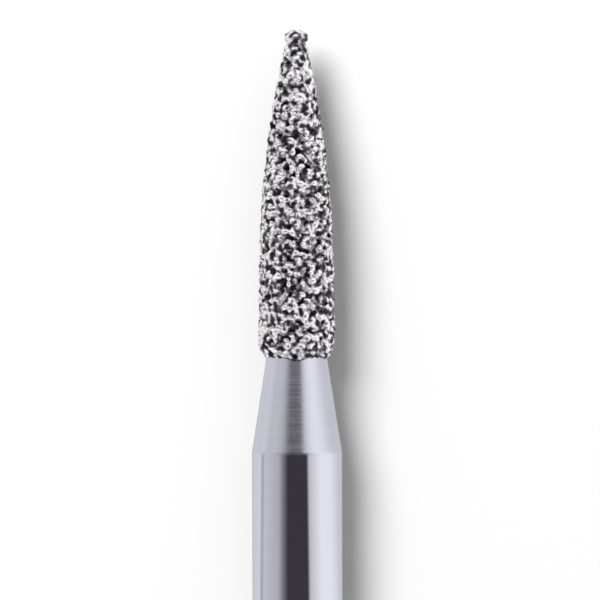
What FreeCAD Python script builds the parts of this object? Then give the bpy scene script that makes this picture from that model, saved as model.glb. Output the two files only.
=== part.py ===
import FreeCAD, Part
import math
import os
import random
import Sketcher
from FreeCAD import Placement, Rotation, Vector

# Dental bur with a flame-shaped diamond head.
# The steel blank is turned from one bar: a plain shank that the handpiece grips, a conical neck and
# a slim flame-shaped core. The core carries a coat of diamond grains held in plated nickel.
# The bur stands on the end of its shank, with its axis along +Z. Sizes are in millimetres.

SIZES = (
    ("shank_diameter", 1.60, "friction-grip shank"),
    ("shank_length", 11.50, "end face to shoulder"),
    ("end_chamfer", 0.06, "bevel round the end face"),
    ("neck_length", 1.70, "shoulder to the lower edge of the coat"),
    ("neck_diameter", 1.07, "at the lower edge of the coat"),
    ("head_length", 5.80, "lower edge of the coat to the tip"),
    ("head_diameter", 1.40, "over the grains, where the heel ends"),
    ("knee_diameter", 1.35, "over the grains, where the long curve to the tip starts"),
    ("knee_height", 1.80, "lower edge of the coat to the knee"),
    ("nose_radius", 0.19, "over the grains"),
    ("core_nose_radius", 0.08, "tip of the steel core"),
    ("heel_radius", 0.30, "rounding of the coat's lower end"),
    ("heel_step", 0.04, "width of the coat's flat lower edge"),
    ("coat_thickness", 0.19, "core to the tops of the grains, from the knee to the tip"),
    ("grain_height", 0.06, "how far the grains stand out of the nickel"),
    ("grain_pitch", 0.155, "grain centre to grain centre"),
)

GRAIN_SEED = 11
# Shares of the pitch, of the grain height and of the way from a grain's middle to its foot.
SIDEWAYS_JITTER = 0.28
LOWEST_GRAIN = 0.40
FLAT_TOP_REACH = (0.35, 0.65)
FLAT_TOPS = 0.60

# How a sketch names the points of its pieces and its own axes.
START, END, CENTRE = 1, 2, 3
ORIGIN = (-1, START)
HORIZONTAL_AXIS, VERTICAL_AXIS = -1, -2


def add_sheet(doc):
    """The spreadsheet of driving dimensions, with an alias for each value."""
    sheet = doc.addObject("Spreadsheet::Sheet", "sizes")
    for row, (alias, value, note) in enumerate(SIZES, start=1):
        sheet.set(f"A{row}", alias)
        sheet.set(f"B{row}", str(value))
        sheet.set(f"C{row}", note)
        sheet.setAlias(f"B{row}", alias)
    doc.recompute()
    return sheet


def line(start, end):
    return Part.LineSegment(Vector(*start, 0), Vector(*end, 0))


def arc(centre, start, end):
    """The arc that runs anticlockwise from one point to another."""
    angles = [math.atan2(p[1] - centre[1], p[0] - centre[0]) for p in (start, end)]
    circle = Part.Circle(Vector(*centre, 0), Vector(0, 0, 1), math.dist(centre, start))
    return Part.ArcOfCircle(circle, *angles)


def flame(foot, knee, tip, nose_radius):
    """The upper part of an outline: a straight flank from foot to knee, the long arc that leaves it
    there without a corner, and the nose, centred on the axis, that the arc runs into."""
    run, rise = knee[0] - foot[0], knee[1] - foot[1]
    outward = (rise / math.hypot(run, rise), -run / math.hypot(run, rise))
    nose = (0.0, tip - nose_radius)
    across, along = knee[0] - nose[0], knee[1] - nose[1]
    reach = across * outward[0] + along * outward[1]
    radius = (across**2 + along**2 - nose_radius**2) / (2 * (reach - nose_radius))
    centre = (knee[0] - radius * outward[0], knee[1] - radius * outward[1])
    stretch = radius / (radius - nose_radius)
    meet = (centre[0] * (1 - stretch), centre[1] + (nose[1] - centre[1]) * stretch)
    return [line(foot, knee), arc(centre, knee, meet), arc(nose, meet, (0.0, tip))]


def tie(sketch, name, expression, *constraint):
    """Add one named dimension to a sketch and tie it to the sheet."""
    sketch.renameConstraint(sketch.addConstraint(Sketcher.Constraint(*constraint)), name)
    sketch.setExpression(f"Constraints.{name}", expression)


def place(sketch, name, piece, end, radius=None, height=None):
    """Tie a point of the outline to a radius, to a height or to both."""
    point = sketch.getPoint(piece, end)
    if radius:
        tie(sketch, f"{name}_radius", radius, "DistanceX", *ORIGIN, piece, end, point.x)
    if height:
        tie(sketch, f"{name}_height", height, "DistanceY", *ORIGIN, piece, end, point.y)


def round_to(sketch, name, piece, radius):
    """Tie the radius of an arc."""
    tie(sketch, name, radius, "Radius", piece, sketch.Geometry[piece].Radius)


def on_axis(sketch, axis, *points):
    """Hold points of the outline on one of the sketch's axes."""
    for piece, end in points:
        sketch.addConstraint(Sketcher.Constraint("PointOnObject", piece, end, axis))


def join(sketch, piece, kind="Coincident"):
    """Join the end of one piece to the start of the next, at a corner or smoothly."""
    sketch.addConstraint(Sketcher.Constraint(kind, piece, END, piece + 1, START))


def add_blank(doc, size):
    """The turned blank: end face, shank, neck and the core inside the coat, turned as one outline."""
    neck_top = size["shank_length"] + size["neck_length"]
    shank_radius = size["shank_diameter"] / 2
    foot = (size["neck_diameter"] / 2, neck_top)
    knee = (size["knee_diameter"] / 2 - size["coat_thickness"], neck_top + size["knee_height"])
    tip = neck_top + size["head_length"] - size["coat_thickness"]
    shoulder = (shank_radius, size["shank_length"])
    pieces = [
        line((0, 0), (shank_radius, 0)),
        line((shank_radius, 0), shoulder),
        line(shoulder, foot),
        *flame(foot, knee, tip, size["core_nose_radius"]),
        line((0, tip), (0, 0)),
    ]
    end_face, shank, neck, flank, curve, nose, axis = range(len(pieces))

    body = doc.addObject("PartDesign::Body", "steel_blank")
    sketch = body.newObject("Sketcher::SketchObject", "blank_outline")
    front = next(f for f in body.Origin.OriginFeatures if f.Role == "XZ_Plane")
    sketch.AttachmentSupport = [(front, "")]
    sketch.MapMode = "FlatFace"
    sketch.addGeometry(pieces, False)
    sketch.addConstraint(Sketcher.Constraint("Coincident", end_face, START, *ORIGIN))
    sketch.addConstraint(Sketcher.Constraint("Horizontal", end_face))
    sketch.addConstraint(Sketcher.Constraint("Vertical", shank))
    for corner in (end_face, shank, neck, nose):
        join(sketch, corner)
    join(sketch, flank, "Tangent")
    join(sketch, curve, "Tangent")
    sketch.addConstraint(Sketcher.Constraint("Coincident", axis, END, *ORIGIN))
    on_axis(sketch, VERTICAL_AXIS, (nose, CENTRE), (axis, START))
    coat_edge = "sizes.shank_length + sizes.neck_length"
    place(sketch, "shoulder", shank, END, "sizes.shank_diameter / 2", "sizes.shank_length")
    place(sketch, "foot", neck, END, "sizes.neck_diameter / 2", coat_edge)
    place(
        sketch, "knee", flank, END,
        "sizes.knee_diameter / 2 - sizes.coat_thickness", f"{coat_edge} + sizes.knee_height",
    )
    tip_height = f"{coat_edge} + sizes.head_length - sizes.coat_thickness"
    place(sketch, "tip", nose, END, height=tip_height)
    round_to(sketch, "nose", nose, "sizes.core_nose_radius")

    turned = body.newObject("PartDesign::Revolution", "turned")
    turned.Profile = sketch
    turned.ReferenceAxis = (sketch, ["V_Axis"])
    turned.Angle = 360
    doc.recompute()
    rim = min(
        range(len(turned.Shape.Edges)),
        key=lambda i: (turned.Shape.Edges[i].BoundBox.ZMax, -turned.Shape.Edges[i].Length),
    )
    bevel = body.newObject("PartDesign::Chamfer", "end_bevel")
    bevel.Base = (turned, [f"Edge{rim + 1}"])
    bevel.setExpression("Size", "sizes.end_chamfer")
    return body


def add_coat_outline(doc, size):
    """Half the coat's outline over its grains, from the lower edge at height 0 to the tip."""
    head_radius = size["head_diameter"] / 2
    heel_centre_radius = head_radius - size["heel_radius"]
    edge_radius = size["neck_diameter"] / 2 + size["heel_step"]
    heel_height = math.sqrt(size["heel_radius"] ** 2 - (edge_radius - heel_centre_radius) ** 2)
    foot = (head_radius, heel_height)
    knee = (size["knee_diameter"] / 2, size["knee_height"])
    pieces = [
        arc((heel_centre_radius, heel_height), (edge_radius, 0), foot),
        *flame(foot, knee, size["head_length"], size["nose_radius"]),
    ]
    heel, flank, curve, nose = range(len(pieces))

    sketch = doc.addObject("Sketcher::SketchObject", "coat_outline")
    sketch.addGeometry(pieces, False)
    for smooth in (heel, flank, curve):
        join(sketch, smooth, "Tangent")
    on_axis(sketch, VERTICAL_AXIS, (nose, CENTRE), (nose, END))
    on_axis(sketch, HORIZONTAL_AXIS, (heel, START))
    edge = "sizes.neck_diameter / 2 + sizes.heel_step"
    place(sketch, "edge", heel, START, radius=edge)
    place(sketch, "heel_end", heel, END, radius="sizes.head_diameter / 2")
    place(sketch, "knee", flank, END, "sizes.knee_diameter / 2", "sizes.knee_height")
    place(sketch, "tip", nose, END, height="sizes.head_length")
    round_to(sketch, "heel", heel, "sizes.heel_radius")
    round_to(sketch, "nose", nose, "sizes.nose_radius")
    doc.recompute()
    return sketch


class Grain:
    """One diamond grain: its place on the coat's outline, which way is out, and the feet round it.
    The grains of the lowest row only mark the coat's lower edge and stand no higher than it."""

    def __init__(self, edges, distance, angle, stands=True):
        for edge in edges:
            if distance <= edge.Length or edge is edges[-1]:
                break
            distance -= edge.Length
        at = edge.getParameterByLength(min(distance, edge.Length))
        spot, along = edge.valueAt(at), edge.tangentAt(at)
        turn = Rotation(Vector(0, 0, 1), math.degrees(angle))
        self.spot = turn.multVec(Vector(spot.x, 0, spot.y))
        self.out = turn.multVec(Vector(along.y, 0, -along.x))
        self.angle = angle
        self.stands = stands
        self.neighbours = {}

    def feet(self):
        """The points between this grain and its neighbours, anticlockwise as seen from outside."""
        reached = [after for after, foot in self.neighbours.values()]
        open_ends = [grain for grain in self.neighbours if grain not in reached]
        here = (open_ends or list(self.neighbours))[0]
        found = []
        for _ in self.neighbours:
            here, foot = self.neighbours[here]
            found.append(foot)
        return found


def grain_rows(outline, pitch, dice):
    """Rows of grains round the axis, from the lower edge to the single grain at the tip. The grains
    keep their pitch, each a little out of line, and every row is half a pitch round from the last."""
    edges = [piece.toShape() for piece in outline.Geometry]
    length = sum(edge.Length for edge in edges)
    row_count = round(length / (pitch * math.sin(math.radians(60))))
    rows = []
    for row in range(row_count):
        distance = length * row / row_count
        radius = Grain(edges, distance, 0).spot.x
        around = max(4, round(2 * math.pi * radius / pitch))
        grains = []
        for step in range(around):
            astray = SIDEWAYS_JITTER * pitch * dice.uniform(-1, 1) if row else 0
            turn = step + 0.5 * (row % 2) + SIDEWAYS_JITTER * dice.uniform(-1, 1)
            grains.append(Grain(edges, distance + astray, 2 * math.pi * turn / around, row > 0))
        rows.append(grains)
    rows.append([Grain(edges, length, 0)])
    return rows


def zip_rows(lower, upper):
    """The triangles between two neighbouring rows, each anticlockwise as seen from outside."""
    triangles = []
    low, high = 0, 0
    steps_up = len(upper) if len(upper) > 1 else 0

    def angle(row, step):
        return row[step % len(row)].angle + 2 * math.pi * (step // len(row))

    while low < len(lower) or high < steps_up:
        corner, above = lower[low % len(lower)], upper[high % len(upper)]
        up_next = high < steps_up and angle(upper, high + 1) < angle(lower, low + 1)
        if low == len(lower) or up_next:
            high += 1
            triangles.append((corner, upper[high % len(upper)], above))
        else:
            low += 1
            triangles.append((corner, lower[low % len(lower)], above))
    return triangles


def grain_facets(grain, height, dice):
    """The facets of one grain over its feet in the nickel: flanks that rise to a point or to a sloping
    top with three corners."""
    feet = grain.feet()

    def raised(point):
        return point - grain.out * height * dice.uniform(0, 1 - LOWEST_GRAIN)

    if dice.random() > FLAT_TOPS or len(feet) < 4:
        point = raised(grain.spot)
        return [(point, feet[i - 1], feet[i]) for i in range(len(feet))]
    shift = dice.randrange(len(feet))
    feet = feet[shift:] + feet[:shift]
    corners = [0, len(feet) // 3, 2 * len(feet) // 3]
    top = []
    for corner in corners:
        level = feet[corner] + grain.out * grain.out.dot(grain.spot - feet[corner])
        top.append(raised(grain.spot + (level - grain.spot) * dice.uniform(*FLAT_TOP_REACH)))
    facets = [tuple(top)]
    here = 0
    for i in range(len(feet)):
        after = (i + 1) % len(feet)
        facets.append((top[here], feet[i], feet[after]))
        if after in corners:
            there = (here + 1) % len(top)
            facets.append((top[here], feet[after], top[there]))
            here = there
    return facets


def skin_facets(rows, height, dice):
    """All facets of the coat's outer side, from its lower edge to the tip."""
    facets = []
    for lower, upper in zip(rows, rows[1:]):
        for corners in zip_rows(lower, upper):
            out = sum((grain.out for grain in corners), Vector()).normalize()
            sunk = height * sum(grain.stands for grain in corners) / len(corners)
            foot = sum((grain.spot for grain in corners), Vector()) / len(corners) - out * sunk
            for i, grain in enumerate(corners):
                grain.neighbours[corners[i - 2]] = (corners[i - 1], foot)
            if not (corners[0].stands or corners[1].stands):
                facets.append((corners[0].spot, corners[1].spot, foot))
    for row in rows[1:-1]:
        for grain in row:
            facets += grain_facets(grain, height, dice)
    tip = rows[-1][0]
    feet = tip.feet()
    facets += [(tip.spot, feet[i - 1], feet[i]) for i in range(len(feet))]
    for grain in rows[0]:
        feet = grain.feet()
        facets += [(grain.spot, feet[i - 1], feet[i]) for i in range(1, len(feet))]
    return facets


def add_coat(doc, size, blank):
    """The coat: one faceted grain beside the next, in a solid that the steel core fills."""
    coat_edge = "sizes.shank_length + sizes.neck_length"
    outline = add_coat_outline(doc, size)
    outline.Placement = Placement(Vector(), Rotation(Vector(1, 0, 0), 90))
    outline.setExpression("Placement.Base.z", coat_edge)
    dice = random.Random(GRAIN_SEED)
    rows = grain_rows(outline, size["grain_pitch"], dice)
    loops = [facet + facet[:1] for facet in skin_facets(rows, size["grain_height"], dice)]
    edge_face = [grain.spot for grain in reversed(rows[0])]
    loops.append(edge_face + edge_face[:1])
    shell = Part.makeShell([Part.Face(Part.makePolygon(list(loop))) for loop in loops])
    shell.sewShape()
    steel = blank.Shape.copy()
    steel.translate(Vector(0, 0, -size["shank_length"] - size["neck_length"]))
    coat = doc.addObject("Part::Feature", "diamond_coat")
    coat.Shape = Part.makeSolid(shell).cut(steel)
    coat.setExpression("Placement.Base.z", coat_edge)
    return coat


def main():
    doc = FreeCAD.newDocument("dental_bur")
    sheet = add_sheet(doc)
    size = {alias: float(sheet.get(alias)) for alias, value, note in SIZES}
    blank = add_blank(doc, size)
    coat = add_coat(doc, size, blank)
    doc.recompute()
    for item in doc.Objects:
        if {"Invalid", "Error"} & set(item.State):
            raise RuntimeError(f"{item.Label} failed to compute")
    os.makedirs("parts", exist_ok=True)
    for node in (blank, coat):
        if node.Shape.isNull() or not node.Shape.isValid() or len(node.Shape.Solids) != 1:
            raise RuntimeError(f"{node.Label} is not one sound solid")
    for node in (blank, coat):
        node.Shape.exportStep(f"parts/{node.Label}.step")
        print(node.Label, round(node.Shape.Volume, 4), "mm3,", len(node.Shape.Faces), "faces")


main()
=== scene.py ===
import math
import bpy
import numpy as np
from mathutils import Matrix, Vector


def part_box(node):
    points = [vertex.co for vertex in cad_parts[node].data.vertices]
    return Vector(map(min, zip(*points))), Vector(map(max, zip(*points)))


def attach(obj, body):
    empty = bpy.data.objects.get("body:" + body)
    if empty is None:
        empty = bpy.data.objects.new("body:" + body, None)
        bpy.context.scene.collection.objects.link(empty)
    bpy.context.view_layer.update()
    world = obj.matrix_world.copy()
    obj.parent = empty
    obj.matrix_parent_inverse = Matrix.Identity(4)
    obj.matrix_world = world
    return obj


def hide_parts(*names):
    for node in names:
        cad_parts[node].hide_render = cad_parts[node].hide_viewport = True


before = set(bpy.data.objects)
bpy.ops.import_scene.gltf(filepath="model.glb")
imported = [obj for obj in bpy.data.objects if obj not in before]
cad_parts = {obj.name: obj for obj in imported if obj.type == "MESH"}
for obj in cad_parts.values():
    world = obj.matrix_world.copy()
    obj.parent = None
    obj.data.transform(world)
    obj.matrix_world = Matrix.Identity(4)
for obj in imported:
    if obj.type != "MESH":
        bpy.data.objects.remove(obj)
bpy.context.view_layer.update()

scene = bpy.context.scene

# Steel blank
# One bar of hardened stainless steel, turned in a lathe: a plain shank, a conical neck and a slim core
# that runs up inside the head. The shank is ground afterwards, the neck keeps its fine turning marks.

MM = 0.001
blank_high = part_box("steel_blank")[1]
coat_low, coat_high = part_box("diamond_coat")
SHANK_RADIUS = blank_high[0]
SHOULDER_HEIGHT = 11.50 * MM
GROUND_UP_TO = SHOULDER_HEIGHT - 0.055 * MM
TURNED_FROM = SHOULDER_HEIGHT - 0.025 * MM
NECK_RADIUS = 0.535 * MM
CORE_KNEE = (0.510 * MM, 15.0 * MM)
CORE_TIP_RADIUS = 0.08 * MM
END_BEVEL = 0.06 * MM
EDGE_ROUNDING = 0.012 * MM
TURNED_SIDES = 256
STEEL_DULLEST, STEEL_BRIGHTEST = (0.69, 0.69, 0.775), (0.71, 0.71, 0.80)
SHANK_ROUGHNESS = (0.06, 0.08)
NECK_ROUGHNESS = (0.22, 0.29)
MARK_STRETCH = (0.5, 0.5, 26)
MARK_DETAIL = 6.0
MARK_STEPS = (0.35, 0.65)
MARK_RANGE = (0.3, 0.7)
MARK_DEPTH = 0.002 * MM
SHANK_MARKS, NECK_MARKS = 0.004, 0.035


def rounded_line(corners, rounding, steps=5):
    """The line through the corners with each inner corner cut back by the rounding, and a parabola in
    its place: p(t) = (1 - t)^2 a + 2 t (1 - t) corner + t^2 b, where a and b lie on the two sides."""
    corners = np.array(corners)
    before = corners[:-2] - corners[1:-1]
    after = corners[2:] - corners[1:-1]
    start = corners[1:-1] + before * (rounding / np.linalg.norm(before, axis=1))[:, None]
    end = corners[1:-1] + after * (rounding / np.linalg.norm(after, axis=1))[:, None]
    t = np.linspace(0, 1, steps)[None, :, None]
    curves = (1 - t) ** 2 * start[:, None] + 2 * t * (1 - t) * corners[1:-1, None] + t**2 * end[:, None]
    return np.vstack([corners[:1], curves.reshape(-1, 2), corners[-1:]])


def turned_surface(name, profile, sides):
    """A profile carried round Z. Point (r, h) at angle a becomes (r cos a, r sin a, h). The first and
    last points of the profile lie on the axis and are single poles, so the surface is closed."""
    angle = np.arange(sides) * 2 * np.pi / sides
    radius, height = profile[1:-1, :1], profile[1:-1, 1:]
    rings = np.stack([radius * np.cos(angle), radius * np.sin(angle), height + 0 * angle], axis=-1)
    poles = [[0, 0, profile[0, 1]], [0, 0, profile[-1, 1]]]
    points = np.vstack([rings.reshape(-1, 3), poles])
    here = np.arange(sides)
    beside = (here + 1) % sides
    rows = np.arange(len(profile) - 3)[:, None] * sides
    quads = np.stack([rows + here, rows + beside, rows + beside + sides, rows + here + sides], axis=-1)
    last = (len(profile) - 3) * sides
    low_pole, high_pole = len(points) - 2, len(points) - 1
    bottom = np.stack([beside, here, np.full(sides, low_pole)], axis=-1)
    top = np.stack([last + here, last + beside, np.full(sides, high_pole)], axis=-1)
    mesh = bpy.data.meshes.new(name)
    mesh.from_pydata(points.tolist(), [], quads.reshape(-1, 4).tolist() + bottom.tolist() + top.tolist())
    mesh.shade_smooth()
    piece = bpy.data.objects.new(name, mesh)
    scene.collection.objects.link(piece)
    return piece


def new_metal(name):
    """A metal with its nodes, links and shader, and the Object coordinates in millimetres."""
    material = bpy.data.materials.new(name)
    material.use_nodes = True
    nodes, links = material.node_tree.nodes, material.node_tree.links
    shader = nodes["Principled BSDF"]
    shader.inputs["Metallic"].default_value = 1.0
    coordinates = nodes.new("ShaderNodeTexCoord")
    scale = nodes.new("ShaderNodeMapping")
    scale.inputs["Scale"].default_value = (1 / MM, 1 / MM, 1 / MM)
    links.new(coordinates.outputs["Object"], scale.inputs["Vector"])
    return material, nodes, links, shader, scale.outputs["Vector"]


def range_node(nodes, links, value, low, high, to_low, to_high):
    """Carries a value from one range to another, and holds it there."""
    node = nodes.new("ShaderNodeMapRange")
    links.new(value, node.inputs["Value"])
    node.inputs["From Min"].default_value = low
    node.inputs["From Max"].default_value = high
    node.inputs["To Min"].default_value = to_low
    node.inputs["To Max"].default_value = to_high
    return node.outputs["Result"]


def ground_steel():
    """Bright ground steel up to the shoulder and duller turned steel above it. Both are marked by fine
    rings: noise that is long round the bar and short along it."""
    material, nodes, links, shader, place = new_metal("ground_steel")
    axes = nodes.new("ShaderNodeSeparateXYZ")
    links.new(place, axes.inputs["Vector"])
    on_neck = range_node(nodes, links, axes.outputs["Z"], GROUND_UP_TO / MM, TURNED_FROM / MM, 0, 1)

    stretched = nodes.new("ShaderNodeMapping")
    stretched.inputs["Scale"].default_value = MARK_STRETCH
    links.new(place, stretched.inputs["Vector"])
    rings = nodes.new("ShaderNodeTexNoise")
    rings.inputs["Scale"].default_value = 1.0
    rings.inputs["Detail"].default_value = MARK_DETAIL
    links.new(stretched.outputs["Vector"], rings.inputs["Vector"])
    marks = rings.outputs["Fac"]

    roughness = nodes.new("ShaderNodeMix")
    links.new(on_neck, roughness.inputs["Factor"])
    links.new(range_node(nodes, links, marks, *MARK_RANGE, *SHANK_ROUGHNESS), roughness.inputs["A"])
    links.new(range_node(nodes, links, marks, *MARK_RANGE, *NECK_ROUGHNESS), roughness.inputs["B"])
    links.new(roughness.outputs["Result"], shader.inputs["Roughness"])

    tone = nodes.new("ShaderNodeValToRGB")
    for stop, step, shade in zip(tone.color_ramp.elements, MARK_STEPS, (STEEL_DULLEST, STEEL_BRIGHTEST)):
        stop.position = step
        stop.color = (*shade, 1)
    links.new(marks, tone.inputs["Fac"])
    links.new(tone.outputs["Color"], shader.inputs["Base Color"])

    bump = nodes.new("ShaderNodeBump")
    bump.inputs["Distance"].default_value = MARK_DEPTH
    links.new(range_node(nodes, links, on_neck, 0, 1, SHANK_MARKS, NECK_MARKS), bump.inputs["Strength"])
    links.new(marks, bump.inputs["Height"])
    links.new(bump.outputs["Normal"], shader.inputs["Normal"])
    return material


blank_corners = [
    (0, 0),
    (SHANK_RADIUS - END_BEVEL, 0),
    (SHANK_RADIUS, END_BEVEL),
    (SHANK_RADIUS, SHOULDER_HEIGHT),
    (NECK_RADIUS, coat_low[2]),
    CORE_KNEE,
    (CORE_TIP_RADIUS, blank_high[2] - CORE_TIP_RADIUS),
    (0, blank_high[2]),
]
steel_blank = turned_surface("turned_blank", rounded_line(blank_corners, EDGE_ROUNDING), TURNED_SIDES)
steel_blank.data.materials.append(ground_steel())
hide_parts("steel_blank")
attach(steel_blank, "root")

# Nickel bond
# Nickel is plated on the core until it holds the diamonds by their lower halves. It is a thin skin that
# follows the flame shape and ends in a rounded heel on the neck, along an edge that is never quite even.
# Its colour runs through patches from bright to nearly black; the nearly black patches are painted shade
# for the hollows between the grains.

HEAD_RADIUS = 0.70 * MM
KNEE_RADIUS = 0.675 * MM
KNEE_HEIGHT = 1.80 * MM
NOSE_RADIUS = 0.19 * MM
HEEL_RADIUS = 0.30 * MM
HEEL_EDGE_RADIUS = 0.575 * MM
LOWEST_BOND = (0.548 * MM, -0.035 * MM)
HEEL_STEPS, CURVE_STEPS, NOSE_STEPS = 24, 120, 32
SLOPE_REACH = 0.02 * MM
NICKEL_DEPTH = 0.075 * MM
SINKING_LENGTH = 0.08 * MM
BOND_ROWS = 160
INNERMOST_ROW = 0.01 * MM
EDGE_WANDER = 0.050 * MM
EDGE_DROP = 0.020 * MM
EDGE_FADE = 0.50 * MM
FRONT = -math.pi / 2
PATCH_SCALE = 9.7
PATCH_STEPS = (0.29, 0.41, 0.48, 0.57)
PATCH_BUMP = 0.3
PATCH_DEPTH = 0.02 * MM
PLATED_ROUGHNESS = 0.30
# The darkest shades are painted shade for the hollows between the grains; the others are the nickel's own
# tone, which differs at random.
NICKEL_SHADES = (
    (0.012, 0.010, 0.012),
    (0.070, 0.062, 0.075),
    (0.22, 0.21, 0.25),
    (0.62, 0.60, 0.64),
)


def arc_points(centre, start, end, count):
    """Points on the arc about the centre that turns anticlockwise from start to end."""
    from_angle = math.atan2(start[1] - centre[1], start[0] - centre[0])
    to_angle = math.atan2(end[1] - centre[1], end[0] - centre[0])
    angle = np.linspace(from_angle, to_angle, count)
    radius = math.dist(start, centre)
    return np.stack([centre[0] + radius * np.cos(angle), centre[1] + radius * np.sin(angle)], axis=1)


def flame_outline():
    """The head's outline over its grains as points (r, height above the coat's edge): the lowest edge
    on the neck, a heel arc, a straight flank to the knee, a long arc that leaves the flank smoothly, and
    a nose arc round to the axis. The long arc's radius R makes its circle touch the nose circle."""
    length = coat_high[2] - coat_low[2]
    heel_centre = HEAD_RADIUS - HEEL_RADIUS
    heel_height = math.sqrt(HEEL_RADIUS**2 - (HEEL_EDGE_RADIUS - heel_centre) ** 2)
    foot, knee = np.array([HEAD_RADIUS, heel_height]), np.array([KNEE_RADIUS, KNEE_HEIGHT])
    nose = np.array([0, length - NOSE_RADIUS])
    along = (knee - foot) / np.linalg.norm(knee - foot)
    out = np.array([along[1], -along[0]])
    gap = knee - nose
    long_radius = (gap @ gap - NOSE_RADIUS**2) / (2 * (gap @ out - NOSE_RADIUS))
    centre = knee - long_radius * out
    meet = centre + (nose - centre) * long_radius / (long_radius - NOSE_RADIUS)
    return np.vstack([
        [LOWEST_BOND],
        arc_points((heel_centre, heel_height), (HEEL_EDGE_RADIUS, 0), foot, HEEL_STEPS),
        arc_points(centre, knee, meet, CURVE_STEPS),
        arc_points(nose, meet, (0, length), NOSE_STEPS)[1:],
    ])


outline = flame_outline()
outline_steps = np.linalg.norm(np.diff(outline, axis=0), axis=1)
outline_length = np.concatenate([[0], np.cumsum(outline_steps)])


def on_outline(distance):
    """Radius, height and outward direction of the outline at distances along it from the lower edge."""
    def read(place, column):
        return np.interp(place, outline_length, outline[:, column])

    ahead, behind = distance + SLOPE_REACH, distance - SLOPE_REACH
    run, rise = [read(ahead, column) - read(behind, column) for column in (0, 1)]
    size = np.hypot(rise, run)
    return read(distance, 0), read(distance, 1) + coat_low[2], rise / size, -run / size


def wandering_edge(points):
    """The points lowered by a drop that goes round the head, drop + wander (cos 2a + cos 5a) / 2 with a
    the angle from the front, and that fades out evenly with the height above the coat's edge."""
    angle = np.arctan2(points[..., 1], points[..., 0]) - FRONT
    drop = EDGE_DROP + EDGE_WANDER * (np.cos(2 * angle) + np.cos(5 * angle)) / 2
    fade = np.clip(1 - (points[..., 2] - coat_low[2]) / EDGE_FADE, 0, 1)
    lowered = points.copy()
    lowered[..., 2] -= drop * fade
    return lowered


def metal_with_painted_shade(name, shades):
    """Metal that is bright in some patches and nearly black in others. The patches are worm-shaped: one
    smooth noise that passes through the shades, from the darkest to the brightest, near its half height.
    The nearly black patches are painted shade for the hollows between the grains; the rest is tone
    that differs at random."""
    material, nodes, links, shader, place = new_metal(name)
    shader.inputs["Roughness"].default_value = PLATED_ROUGHNESS
    patches = nodes.new("ShaderNodeTexNoise")
    patches.inputs["Scale"].default_value = PATCH_SCALE
    patches.inputs["Detail"].default_value = 0.0
    links.new(place, patches.inputs["Vector"])
    tone = nodes.new("ShaderNodeValToRGB")
    stops = tone.color_ramp.elements
    for step in PATCH_STEPS[1:-1]:
        stops.new(step)
    for stop, step, shade in zip(stops, PATCH_STEPS, shades):
        stop.position = step
        stop.color = (*shade, 1)
    links.new(patches.outputs["Fac"], tone.inputs["Fac"])
    links.new(tone.outputs["Color"], shader.inputs["Base Color"])
    bump = nodes.new("ShaderNodeBump")
    bump.inputs["Strength"].default_value = PATCH_BUMP
    bump.inputs["Distance"].default_value = PATCH_DEPTH
    links.new(patches.outputs["Fac"], bump.inputs["Height"])
    links.new(bump.outputs["Normal"], shader.inputs["Normal"])
    return material


bond_distance = np.linspace(outline_length[1], outline_length[-1], BOND_ROWS)
bond_radius, bond_height, bond_out, bond_up = on_outline(bond_distance)
bond_sink = NICKEL_DEPTH * np.clip((bond_distance - outline_length[1]) / SINKING_LENGTH, 0, 1)
bond_profile = np.stack([bond_radius - bond_out * bond_sink, bond_height - bond_up * bond_sink], axis=1)
bond_profile = bond_profile[bond_profile[:, 0] > INNERMOST_ROW]
bond_start, bond_end = [[0, bond_profile[0, 1]]], [[0, bond_profile[-1, 1]]]
nickel_bond = turned_surface("nickel_bond", np.vstack([bond_start, bond_profile, bond_end]), TURNED_SIDES)
bond_points = np.array([vertex.co for vertex in nickel_bond.data.vertices])
nickel_bond.data.vertices.foreach_set("co", wandering_edge(bond_points).ravel())
nickel_bond.data.update()
nickel_bond.data.materials.append(metal_with_painted_shade("nickel_bond", NICKEL_SHADES))
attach(nickel_bond, "root")

# Diamond grains
# Crushed diamond, sieved to about 0.15 mm: blocky crystals with square and six-sided faces, no two
# alike. They stand side by side in the nickel, which has crept up over most of them, with smaller
# splinters in the gaps between them and one broad, blunt crystal on the tip.

GRAIN_PITCH = 0.152 * MM
GRAIN_RADIUS = (0.064 * MM, 0.096 * MM)
GRAIN_SINK = 0.030 * MM
GRAIN_STRAY = 0.24 * GRAIN_PITCH
SPLINTERS_PER_GRAIN = 0.8
SPLINTER_RADIUS = (0.035 * MM, 0.052 * MM)
SPLINTER_SINK = (0.020 * MM, 0.060 * MM)
SPLINTER_STRAY = 0.50 * GRAIN_PITCH
LOWEST_GRAIN = 0.03 * MM
EDGE_GRAIN_COUNT = 44
EDGE_BAND = (0.005 * MM, 0.075 * MM)
CRYSTAL_CORNERS = 24
PLAIN_CUT = 0.5
CUTS = (0.35, 0.95)
STRETCHES = (0.70, 1.30)
TIP_HALF_WIDTH, TIP_HALF_HEIGHT = 0.205 * MM, 0.135 * MM
TIP_CUT = 0.40
TIP_SHIFT = 0.01 * MM
GOLDEN_ANGLE = math.pi * (3 - math.sqrt(5))
# The darkest shades are painted shade for the hollows between the grains; the others are the grit's own
# tone, which differs at random.
GRIT_SHADES = (
    (0.030, 0.027, 0.031),
    (0.140, 0.130, 0.151),
    (0.43, 0.41, 0.47),
    (0.99, 0.98, 0.99),
)
GRIT_SEED = 5
grit = np.random.default_rng(GRIT_SEED)


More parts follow.
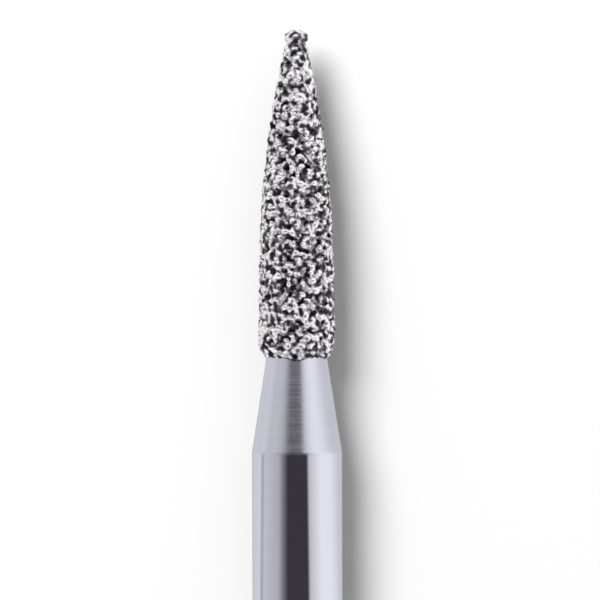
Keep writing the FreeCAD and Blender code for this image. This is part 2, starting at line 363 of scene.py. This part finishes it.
def crystal_pattern():
    """Which of the 24 corners (every order of +-1, +-t and 0) lie round each of the 14 faces of a cut
    octahedron. Returns the signs and places of 1 and t, and the faces, anticlockwise from outside."""
    order = [(a, b) for a in range(3) for b in range(3) if a != b]
    corners = [(a, b, p, q) for a, b in order for p in (1, -1) for q in (1, -1)]
    ones, parts = np.zeros((CRYSTAL_CORNERS, 3)), np.zeros((CRYSTAL_CORNERS, 3))
    for i, (a, b, p, q) in enumerate(corners):
        ones[i, a], parts[i, b] = p, q
    shape = ones + PLAIN_CUT * parts
    squares = [sign * np.eye(3)[axis] for axis in range(3) for sign in (1, -1)]
    sixes = [np.array([x, y, z]) for x in (1, -1) for y in (1, -1) for z in (1, -1)]
    faces = []
    for normal in squares + sixes:
        reach = shape @ normal
        on_face = np.flatnonzero(np.isclose(reach, reach.max()))
        side = np.cross(normal, shape[on_face[0]])
        front = np.cross(side, normal)
        across = shape[on_face] @ side / np.linalg.norm(side)
        along = shape[on_face] @ front / np.linalg.norm(front)
        faces.append(on_face[np.argsort(np.arctan2(across, along))].tolist())
    return ones, parts, faces


def random_turns(count):
    """Random rotations, from unit quaternions (w, x, y, z) written out as matrices."""
    draws = grit.normal(size=(4, count))
    w, x, y, z = draws / np.linalg.norm(draws, axis=0)
    return np.stack([
        np.stack([1 - 2 * (y * y + z * z), 2 * (x * y - w * z), 2 * (x * z + w * y)], axis=-1),
        np.stack([2 * (x * y + w * z), 1 - 2 * (x * x + z * z), 2 * (y * z - w * x)], axis=-1),
        np.stack([2 * (x * z - w * y), 2 * (y * z + w * x), 1 - 2 * (x * x + y * y)], axis=-1),
    ], axis=1)


def spread_over_head(count, stray):
    """Places spread evenly over the head: the share of its area below each is (k + 1/2) / count, and
    each is a golden angle on from the last. Both are then shifted at random by up to the stray."""
    ring_area = np.concatenate([[0], np.cumsum(outline_steps * (outline[1:, 0] + outline[:-1, 0]))])
    share = (np.arange(count) + 0.5) / count
    distance = np.interp(share * ring_area[-1], ring_area, outline_length)
    distance = np.clip(distance + grit.uniform(-stray, stray, count), LOWEST_GRAIN, outline_length[-1])
    radius = np.maximum(on_outline(distance)[0], stray)
    angle = np.arange(count) * GOLDEN_ANGLE + grit.uniform(-stray, stray, count) / radius
    return distance, angle


def crystal_mesh(name, points):
    """One closed crystal for each set of 24 corners."""
    faces = crystal_pattern()[2]
    count = len(points)
    loops = np.concatenate([np.array(face) for face in faces])
    face_sizes = np.array([len(face) for face in faces])
    all_loops = (loops + np.arange(count)[:, None] * CRYSTAL_CORNERS).ravel()
    all_sizes = np.tile(face_sizes, count)
    mesh = bpy.data.meshes.new(name)
    mesh.vertices.add(count * CRYSTAL_CORNERS)
    mesh.vertices.foreach_set("co", points.ravel())
    mesh.loops.add(len(all_loops))
    mesh.loops.foreach_set("vertex_index", all_loops)
    mesh.polygons.add(len(all_sizes))
    mesh.polygons.foreach_set("loop_start", np.concatenate([[0], np.cumsum(all_sizes)[:-1]]))
    mesh.update(calc_edges=True)
    mesh.validate()
    mesh.shade_smooth()
    piece = bpy.data.objects.new(name, mesh)
    scene.collection.objects.link(piece)
    return piece


def scattered_crystals(name, distance, angle, size, sink):
    """One crystal at each place: corners (ones + t parts) stretched, turned, scaled to size, and set so
    that its highest corner lies the sink below the outline."""
    count = len(distance)
    ones, parts = crystal_pattern()[:2]
    cut = grit.uniform(*CUTS, (count, 1, 1))
    stretch = grit.uniform(*STRETCHES, (count, 1, 3))
    corners = (ones + cut * parts) * stretch * size[:, None, None]
    corners = corners @ random_turns(count)
    radius, height, out, up = on_outline(distance)
    outward = np.stack([out * np.cos(angle), out * np.sin(angle), up], axis=1)
    surface = np.stack([radius * np.cos(angle), radius * np.sin(angle), height], axis=1)
    top = np.einsum("nck,nk->nc", corners, outward).max(axis=1)
    centre = wandering_edge(surface - outward * (top + sink)[:, None])
    return crystal_mesh(name, corners + centre[:, None])


head_area = 2 * math.pi * float((outline_steps * (outline[1:, 0] + outline[:-1, 0]) / 2).sum())
grain_count = round(head_area / (GRAIN_PITCH**2 * math.sin(math.radians(60))))
splinter_count = round(grain_count * SPLINTERS_PER_GRAIN)
grain_places = spread_over_head(grain_count, GRAIN_STRAY)
splinter_places = spread_over_head(splinter_count, SPLINTER_STRAY)
diamond_grains = scattered_crystals(
    "diamond_grains", *grain_places,
    grit.uniform(*GRAIN_RADIUS, grain_count), grit.uniform(0, GRAIN_SINK, grain_count),
)
edge_distance = grit.uniform(*EDGE_BAND, EDGE_GRAIN_COUNT)
edge_turn = (np.arange(EDGE_GRAIN_COUNT) + grit.uniform(-0.5, 0.5, EDGE_GRAIN_COUNT)) / EDGE_GRAIN_COUNT
edge_grains = scattered_crystals(
    "edge_grains", edge_distance, edge_turn * 2 * math.pi,
    grit.uniform(*SPLINTER_RADIUS, EDGE_GRAIN_COUNT), np.zeros(EDGE_GRAIN_COUNT),
)
diamond_splinters = scattered_crystals(
    "diamond_splinters", *splinter_places,
    grit.uniform(*SPLINTER_RADIUS, splinter_count), grit.uniform(*SPLINTER_SINK, splinter_count),
)
tip_ones, tip_parts = crystal_pattern()[:2]
tip_size = np.array([TIP_HALF_WIDTH, TIP_HALF_WIDTH, TIP_HALF_HEIGHT])
tip_centre = np.array([TIP_SHIFT, 0, coat_high[2] - TIP_HALF_HEIGHT])
tip_corners = (tip_ones + TIP_CUT * tip_parts) * tip_size + tip_centre
tip_crystal = crystal_mesh("tip_crystal", tip_corners[None])
diamond_grit = metal_with_painted_shade("diamond_grit", GRIT_SHADES)
for grains in (diamond_grains, diamond_splinters, edge_grains, tip_crystal):
    grains.data.materials.append(diamond_grit)
    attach(grains, "root")
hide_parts("diamond_coat")

# Floor and backdrop
# A matt white card for the bur to stand on, and a second one upright close behind it, which takes the
# bur's soft shadow. The upright card shows only its front, so that it hides nothing from behind.

FLOOR_SIDE = 0.6
BACKDROP_WIDTH, BACKDROP_HEIGHT = 0.12, 0.08
BACKDROP_GAP = 0.03 * MM
FLOOR_SHADE, BACKDROP_SHADE = 0.90, 0.97


def flat_card(name, corners, paint):
    """A flat painted card through four corners. The steel doesn't mirror it, and it lights nothing."""
    mesh = bpy.data.meshes.new(name)
    mesh.from_pydata(corners, [], [(0, 1, 2, 3)])
    card = bpy.data.objects.new(name, mesh)
    scene.collection.objects.link(card)
    card.data.materials.append(paint)
    card.visible_glossy = False
    card.visible_diffuse = False
    return card


def card_paint(name, shade):
    """Matt paint of one shade."""
    material = bpy.data.materials.new(name)
    material.use_nodes = True
    shader = material.node_tree.nodes["Principled BSDF"]
    shader.inputs["Base Color"].default_value = (shade, shade, shade, 1)
    shader.inputs["Roughness"].default_value = 1.0
    shader.inputs["Specular IOR Level"].default_value = 0.0
    return material


def front_only(material):
    """Lets the back of a card be looked through."""
    nodes, links = material.node_tree.nodes, material.node_tree.links
    side = nodes.new("ShaderNodeNewGeometry")
    clear = nodes.new("ShaderNodeBsdfTransparent")
    choice = nodes.new("ShaderNodeMixShader")
    links.new(side.outputs["Backfacing"], choice.inputs["Fac"])
    links.new(nodes["Principled BSDF"].outputs["BSDF"], choice.inputs[1])
    links.new(clear.outputs["BSDF"], choice.inputs[2])
    links.new(choice.outputs["Shader"], nodes["Material Output"].inputs["Surface"])
    return material


half = FLOOR_SIDE / 2
floor_corners = [(-half, -half, 0), (half, -half, 0), (half, half, 0), (-half, half, 0)]
flat_card("floor", floor_corners, card_paint("floor_paint", FLOOR_SHADE))
back = SHANK_RADIUS + BACKDROP_GAP
wide, high = BACKDROP_WIDTH / 2, BACKDROP_HEIGHT
backdrop_corners = [(-wide, back, 0), (wide, back, 0), (wide, back, high), (-wide, back, high)]
flat_card("backdrop", backdrop_corners, front_only(card_paint("backdrop_paint", BACKDROP_SHADE)))

# Light
# A white tent all round. Its wall is what the steel mirrors: darkest at the front, where the lens looks
# in, dimmer behind, and paler below the level of the floor, which throws light back on it. A broad lamp
# at the upper left throws the soft shadow on the backdrop.

WALL_DISTANCE = 0.15
WALL_TOP_ANGLE = math.radians(27)
WALL_FOOT_ANGLE = math.radians(-32)
WALL_STEPS = 96
LENS_OPENING = (0.054, 0.0475, 0.056)
# Each stop's degrees to the right of the lens, and its brightness.
WALL_SHADES = {
    "far left": (-148, 0.78),
    "left edge": (-118, 0.88),
    "left seam": (-108, 0.48),
    "left side": (-98, 0.74),
    "left middle": (-52, 0.56),
    "near left": (-37, 0.22),
    "opening's left": (-25, LENS_OPENING),
    "opening's right": (28, LENS_OPENING),
    "near right": (35, 0.70),
    "right middle": (68, 1.08),
    "right side": (100, 1.08),
    "far right": (145, 0.74),
}
BEHIND_START, BEHIND_FULL = math.radians(150), math.radians(172)
BEHIND_SHARE = 0.50
NARROWING = 10.0
OPENING_LEAN = math.radians(10)
FLOOR_BOUNCE_DEPTH = -0.045
FLOOR_BOUNCE = 0.75
TENT_STRENGTH = 0.37
LAMP_SIDE = math.radians(-28)
LAMP_RISE = math.radians(30)
LAMP_DISTANCE = 0.30
LAMP_SIZE = 0.17
LAMP_POWER = 0.87
LAMP_AIM = Vector((0, 0, 15 * MM))

wall_foot = WALL_DISTANCE * math.tan(WALL_FOOT_ANGLE)
wall_top = WALL_DISTANCE * math.tan(WALL_TOP_ANGLE)


def math_node(nodes, links, operation, *values):
    """One step of arithmetic on numbers and other nodes' results."""
    node = nodes.new("ShaderNodeMath")
    node.operation = operation
    for socket, value in zip(node.inputs, values):
        if isinstance(value, bpy.types.NodeSocket):
            links.new(value, socket)
        else:
            socket.default_value = value
    return node.outputs["Value"]


def white_sky():
    """The tent's top: white to the lens and in mirrors, and dimmer as light on matt cards."""
    world = bpy.data.worlds.new("tent")
    world.use_nodes = True
    nodes, links = world.node_tree.nodes, world.node_tree.links
    path = nodes.new("ShaderNodeLightPath").outputs
    seen = math_node(nodes, links, "MAXIMUM", path["Is Camera Ray"], path["Is Glossy Ray"])
    white = math_node(nodes, links, "MAXIMUM", seen, path["Is Transmission Ray"])
    direct = math_node(nodes, links, "LESS_THAN", path["Diffuse Depth"], 0.5)
    both = math_node(nodes, links, "MINIMUM", white, direct)
    sky = nodes["Background"].inputs
    links.new(range_node(nodes, links, both, 0, 1, TENT_STRENGTH, 1), sky["Strength"])
    sky["Color"].default_value = (1, 1, 1, 1)
    return world


def lit_cloth():
    """White cloth lit from behind. Its brightness depends on its direction from the bur, in degrees to
    the right of the lens, and runs evenly from one named shade to the next. Away from the floor's level
    the shades draw together towards the front, and higher up the dark opening leans to the left."""
    material = bpy.data.materials.new("tent_wall")
    material.use_nodes = True
    nodes, links = material.node_tree.nodes, material.node_tree.links
    axes = nodes.new("ShaderNodeSeparateXYZ")
    links.new(nodes.new("ShaderNodeTexCoord").outputs["Object"], axes.inputs["Vector"])
    height = axes.outputs["Z"]
    toward_lens = math_node(nodes, links, "MULTIPLY", axes.outputs["Y"], -1)
    direction = math_node(nodes, links, "ARCTAN2", axes.outputs["X"], toward_lens)
    from_floor = math_node(nodes, links, "ABSOLUTE", height)
    widening = math_node(nodes, links, "MULTIPLY_ADD", from_floor, NARROWING, 1.0)
    leaning = range_node(nodes, links, height, 0, wall_top, 0, OPENING_LEAN)
    apparent = math_node(nodes, links, "MULTIPLY_ADD", direction, widening, leaning)
    ramp = nodes.new("ShaderNodeValToRGB")
    links.new(range_node(nodes, links, apparent, -math.pi, math.pi, 0, 1), ramp.inputs["Fac"])
    stops = ramp.color_ramp.elements
    for number, (degrees, shade) in enumerate(WALL_SHADES.values()):
        position = (degrees + 180) / 360
        stop = stops[number] if number < 2 else stops.new(position)
        stop.position = position
        stop.color = (*np.broadcast_to(shade, 3), 1)

    bounce = nodes.new("ShaderNodeMix")
    bounce.data_type = "RGBA"
    cloth, white = [socket for socket in bounce.inputs if socket.type == "RGBA"]
    links.new(ramp.outputs["Color"], cloth)
    white.default_value = (1, 1, 1, 1)
    share = range_node(nodes, links, height, FLOOR_BOUNCE_DEPTH, 0, FLOOR_BOUNCE, 0)
    links.new(share, bounce.inputs["Factor"])
    mixed = next(socket for socket in bounce.outputs if socket.type == "RGBA")

    rays = nodes.new("ShaderNodeLightPath").outputs
    level = range_node(nodes, links, rays["Diffuse Depth"], 0, 1, 1, TENT_STRENGTH)
    either_side = math_node(nodes, links, "ABSOLUTE", direction)
    behind = range_node(nodes, links, either_side, BEHIND_START, BEHIND_FULL, 1, BEHIND_SHARE)
    glow = nodes.new("ShaderNodeEmission")
    links.new(mixed, glow.inputs["Color"])
    links.new(math_node(nodes, links, "MULTIPLY", level, behind), glow.inputs["Strength"])
    links.new(glow.outputs["Emission"], nodes["Material Output"].inputs["Surface"])
    nodes.remove(nodes["Principled BSDF"])
    return material


def tent_wall():
    """A ring of upright faces about the axis, (d cos a, d sin a) at the foot and at the top, that look
    inwards. Only mirrors show it."""
    turn = np.arange(WALL_STEPS) * 2 * np.pi / WALL_STEPS
    across, along = WALL_DISTANCE * np.cos(turn), WALL_DISTANCE * np.sin(turn)
    edges = [np.stack([across, along, np.full(WALL_STEPS, edge)], axis=1) for edge in (wall_foot, wall_top)]
    here = np.arange(WALL_STEPS)
    beside = (here + 1) % WALL_STEPS
    faces = np.stack([beside, here, here + WALL_STEPS, beside + WALL_STEPS], axis=1)
    mesh = bpy.data.meshes.new("tent_wall")
    mesh.from_pydata(np.vstack(edges).tolist(), [], faces.tolist())
    wall = bpy.data.objects.new("tent_wall", mesh)
    scene.collection.objects.link(wall)
    wall.data.materials.append(lit_cloth())
    wall.visible_camera = False
    wall.visible_diffuse = False
    wall.visible_shadow = False
    return wall


scene.world = white_sky()
tent_wall()

lamp_data = bpy.data.lights.new("upper_left_lamp", "AREA")
lamp_data.shape = "DISK"
lamp_data.size = LAMP_SIZE
lamp_data.energy = LAMP_POWER
lamp = bpy.data.objects.new("upper_left_lamp", lamp_data)
scene.collection.objects.link(lamp)
lamp_direction = Vector((
    math.cos(LAMP_RISE) * math.sin(LAMP_SIDE),
    -math.cos(LAMP_RISE) * math.cos(LAMP_SIDE),
    math.sin(LAMP_RISE),
))
lamp.location = LAMP_AIM + lamp_direction * LAMP_DISTANCE
lamp.rotation_euler = (-lamp_direction).to_track_quat("-Z", "Y").to_euler()
lamp.visible_glossy = False

# Camera
# It looks straight at the bur from far off, level with the coat's lower half, and is turned by a fifth
# of a degree, because the bur leans that much in the photo.

PIXELS_PER_MM = 56.25
IMAGE_PIXELS = 600
TIP_ROW = 30.0
AXIS_COLUMN = 296.6
LENS = 400.0
SENSOR = 36.0
NEAREST, FARTHEST = 0.001, 10
LEAN = math.radians(0.2)

frame_width = IMAGE_PIXELS / PIXELS_PER_MM * MM
view_height = coat_high[2] - (IMAGE_PIXELS / 2 - TIP_ROW) / PIXELS_PER_MM * MM
view_side = (IMAGE_PIXELS / 2 - AXIS_COLUMN) / PIXELS_PER_MM * MM
lens_data = bpy.data.cameras.new("camera")
lens_data.lens = LENS
lens_data.sensor_width = SENSOR
lens_data.clip_start = NEAREST
lens_data.clip_end = FARTHEST
camera = bpy.data.objects.new("camera", lens_data)
scene.collection.objects.link(camera)
camera.location = (view_side, -frame_width * LENS / SENSOR, view_height)
camera.rotation_euler = (math.pi / 2, LEAN, 0)
scene.camera = camera
scene.view_settings.view_transform = "Standard"
